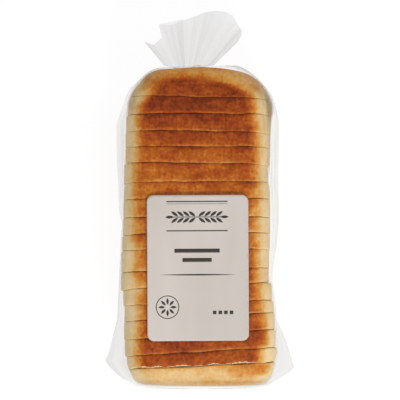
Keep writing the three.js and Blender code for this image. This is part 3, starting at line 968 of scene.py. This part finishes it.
# The print: plain shapes in millimetres from the label's middle.
printed = {
    "above": 0.05,
    "thickness": 0.03,
    "lines": [((-0.5, 54.5), (50, 0.9)), ((-0.5, 52.6), (50, 0.3)), ((-0.5, 30.5), (50, 0.9))],
    "sprig": {"middle": (-0.5, 41.8), "reach": 26, "stem": 0.6, "angle": 36},
    "grains": {"count": 4, "size": (7, 2.3)},  # on each side of the sprig
    "bars": [((-0.6, 14.2), (37, 3.2)), ((-0.6, 6.6), (24, 3.2))],
    "rule": {"middle": (-0.3, -5.5), "length": 62, "swell": 1.2},
    "ring": {"middle": (-25, -32), "radius": 9.6, "line": 0.7},
    "ringGrains": {"count": 8, "size": (5.4, 2), "reach": 4.8},
    "squares": {"middle": (20.5, -36.5), "size": 2.9, "gap": 1.7, "count": 4},
}


def strip(lower, upper):
    # A flat shape between two edges with the same number of points.
    share = np.linspace(0, 1, 4)[:, None, None]
    return lower + (upper - lower) * share


def bar(centre, size):
    # A plain rectangle, cut finely enough to lie on the paper's waves.
    x, y = np.linspace(-0.5, 0.5, 24) * size[0], size[1] / 2
    return strip(stacked(x, -y), stacked(x, y)) + centre


def lens(centre, length, width, turn=0):
    # A shape that swells from a point and narrows to one, as a grain or a swelled rule.
    s = np.linspace(-1, 1, 24)
    height = width / 2 * np.clip(1 - s * s, 0.003, 1)
    c, d = math.cos(turn), math.sin(turn)
    shape = strip(stacked(s * length / 2, -height), stacked(s * length / 2, height))
    return shape @ np.array([[c, d], [-d, c]]) + centre


def ringShape(centre, radius, line):
    # A plain ring of the given line width.
    a = np.radians(np.linspace(0, 360, 72))
    circle = stacked(np.cos(a), np.sin(a))
    return strip(radius * circle, (radius - line) * circle) + centre


def printShapes():
    # Every printed shape as a small grid of points in the label's plan.
    shapes = [bar(centre, size) for centre, size in printed["bars"] + printed["lines"]]
    rule = printed["rule"]
    shapes.append(lens(rule["middle"], rule["length"], rule["swell"]))
    # Two ears of wheat that point away from each other.
    sprig, grains = printed["sprig"], printed["grains"]
    x, y = sprig["middle"]
    length, width = grains["size"]
    reach, turn = sprig["reach"], math.radians(sprig["angle"])
    shapes.append(bar((x, y), (2 * reach - length, sprig["stem"])))
    for sign in (-1, 1):
        shapes.append(lens((x + sign * (reach - length / 2), y), length, width))
        for i, side in itertools.product(range(grains["count"]), (-1, 1)):
            stem = reach - length - i * (reach - length) / grains["count"]
            across = x + sign * (stem - length / 2 + length * math.cos(turn) / 2)
            up = side * (length * math.sin(turn) / 2 + sprig["stem"])
            shapes.append(lens((across, y + up), length, width, sign * side * turn))
    ring, grains = printed["ring"], printed["ringGrains"]
    shapes.append(ringShape(ring["middle"], ring["radius"], ring["line"]))
    for i in range(grains["count"]):
        a = 2 * math.pi * i / grains["count"]
        out = grains["reach"] * np.array([math.cos(a), math.sin(a)])
        shapes.append(lens(np.array(ring["middle"]) + out, *grains["size"], a))
    squares = printed["squares"]
    x, y = squares["middle"]
    size, count = squares["size"], squares["count"]
    for i in range(count):
        across = x + (i - (count - 1) / 2) * (size + squares["gap"])
        shapes.append(bar((across, y), (size, size)))
    return shapes


def addPrint(material):
    # All the printed shapes as one thin layer of ink on the paper.
    points, faces, count = [], [], 0
    for shape in printShapes():
        rows, columns = shape.shape[:2]
        corner = count + np.arange(rows * columns).reshape(rows, columns)
        quads = np.stack([corner[:-1, :-1], corner[:-1, 1:], corner[1:, 1:], corner[1:, :-1]], -1)
        faces += quads.reshape(-1, 4).tolist()
        above = label["thickness"] + printed["above"]
        points.append(onLabel(shape[..., 0], shape[..., 1], above).reshape(-1, 3))
        count += rows * columns
    piece = addPiece("label_print", np.concatenate(points), faces, material)
    shell = piece.modifiers.new("inkThickness", "SOLIDIFY")
    shell.thickness = printed["thickness"] * mm
    shell.offset = 0


crust = bakedCrust()
for number in range(len(sliceSizes)):
    addSlice(number, crust)
print("slices made")
addFilm(clearFilm())
print("film made")
addLabel(labelPaper())
addPrint(printedInk())
print("label made")

studio = {
    "floorColour": "#595959",
    "floorGlow": 0.92,
    "floorSize": 6,
    "skyColour": "#ffffff",
    "sky": 0.35,
    # Each light: place in metres, size in metres and power in watts.
    "lights": [
        ((0.3, -1.1, 1.25), 0.5, 15.5),
        ((-0.9, 0.6, 1.2), 0.5, 4),
        ((0.9, 0.5, 1.2), 0.5, 5.5),
    ],
}
camera = {
    "place": (0.0016, 0.0267, 1.313),  # 1.2 m above the top crust
    "frameWidth": 0.328,  # what the picture spans at the top crust
    "distance": 1.2,
    "sensor": 36,
}


def addStudio():
    # A pale glowing table, soft lights round it and an even sky.
    half = studio["floorSize"] / 2
    corners = [(-half, -half, 0), (half, -half, 0), (half, half, 0), (-half, half, 0)]
    mesh = bpy.data.meshes.new("floor")
    mesh.from_pydata(corners, [], [(0, 1, 2, 3)])
    material, add = newMaterial("paleTable")
    shader = add(
        "BsdfPrincipled",
        {
            "Base Color": linear(studio["floorColour"]),
            "Roughness": 0.9,
            "Specular IOR Level": 0.1,
            "Emission Color": (1, 1, 1, 1),
            "Emission Strength": studio["floorGlow"],
        },
    )
    add("OutputMaterial", {"Surface": shader})
    mesh.materials.append(material)
    floor = addObject("floor", mesh)

    world = bpy.data.worlds.new("studioSky")
    world.use_nodes = True
    background = world.node_tree.nodes["Background"]
    background.inputs["Color"].default_value = linear(studio["skyColour"])
    background.inputs["Strength"].default_value = studio["sky"]
    scene.world = world
    for i, (place, size, power) in enumerate(studio["lights"]):
        data = bpy.data.lights.new(f"softbox{i}", "AREA")
        data.shape = "DISK"
        data.size = size
        data.energy = power
        light = addObject(f"softbox{i}", data)
        light.location = place
        towards = -light.location
        light.rotation_euler = towards.to_track_quat("-Z", "Y").to_euler()


def addCamera():
    # Straight above the loaf, with the neck at the top of the picture.
    data = bpy.data.cameras.new("camera")
    data.sensor_width = camera["sensor"]
    data.lens = camera["sensor"] * camera["distance"] / camera["frameWidth"]
    eye = addObject("camera", data)
    eye.location = camera["place"]
    scene.camera = eye


addStudio()
addCamera()
scene.view_settings.view_transform = "Standard"
print("studio made")
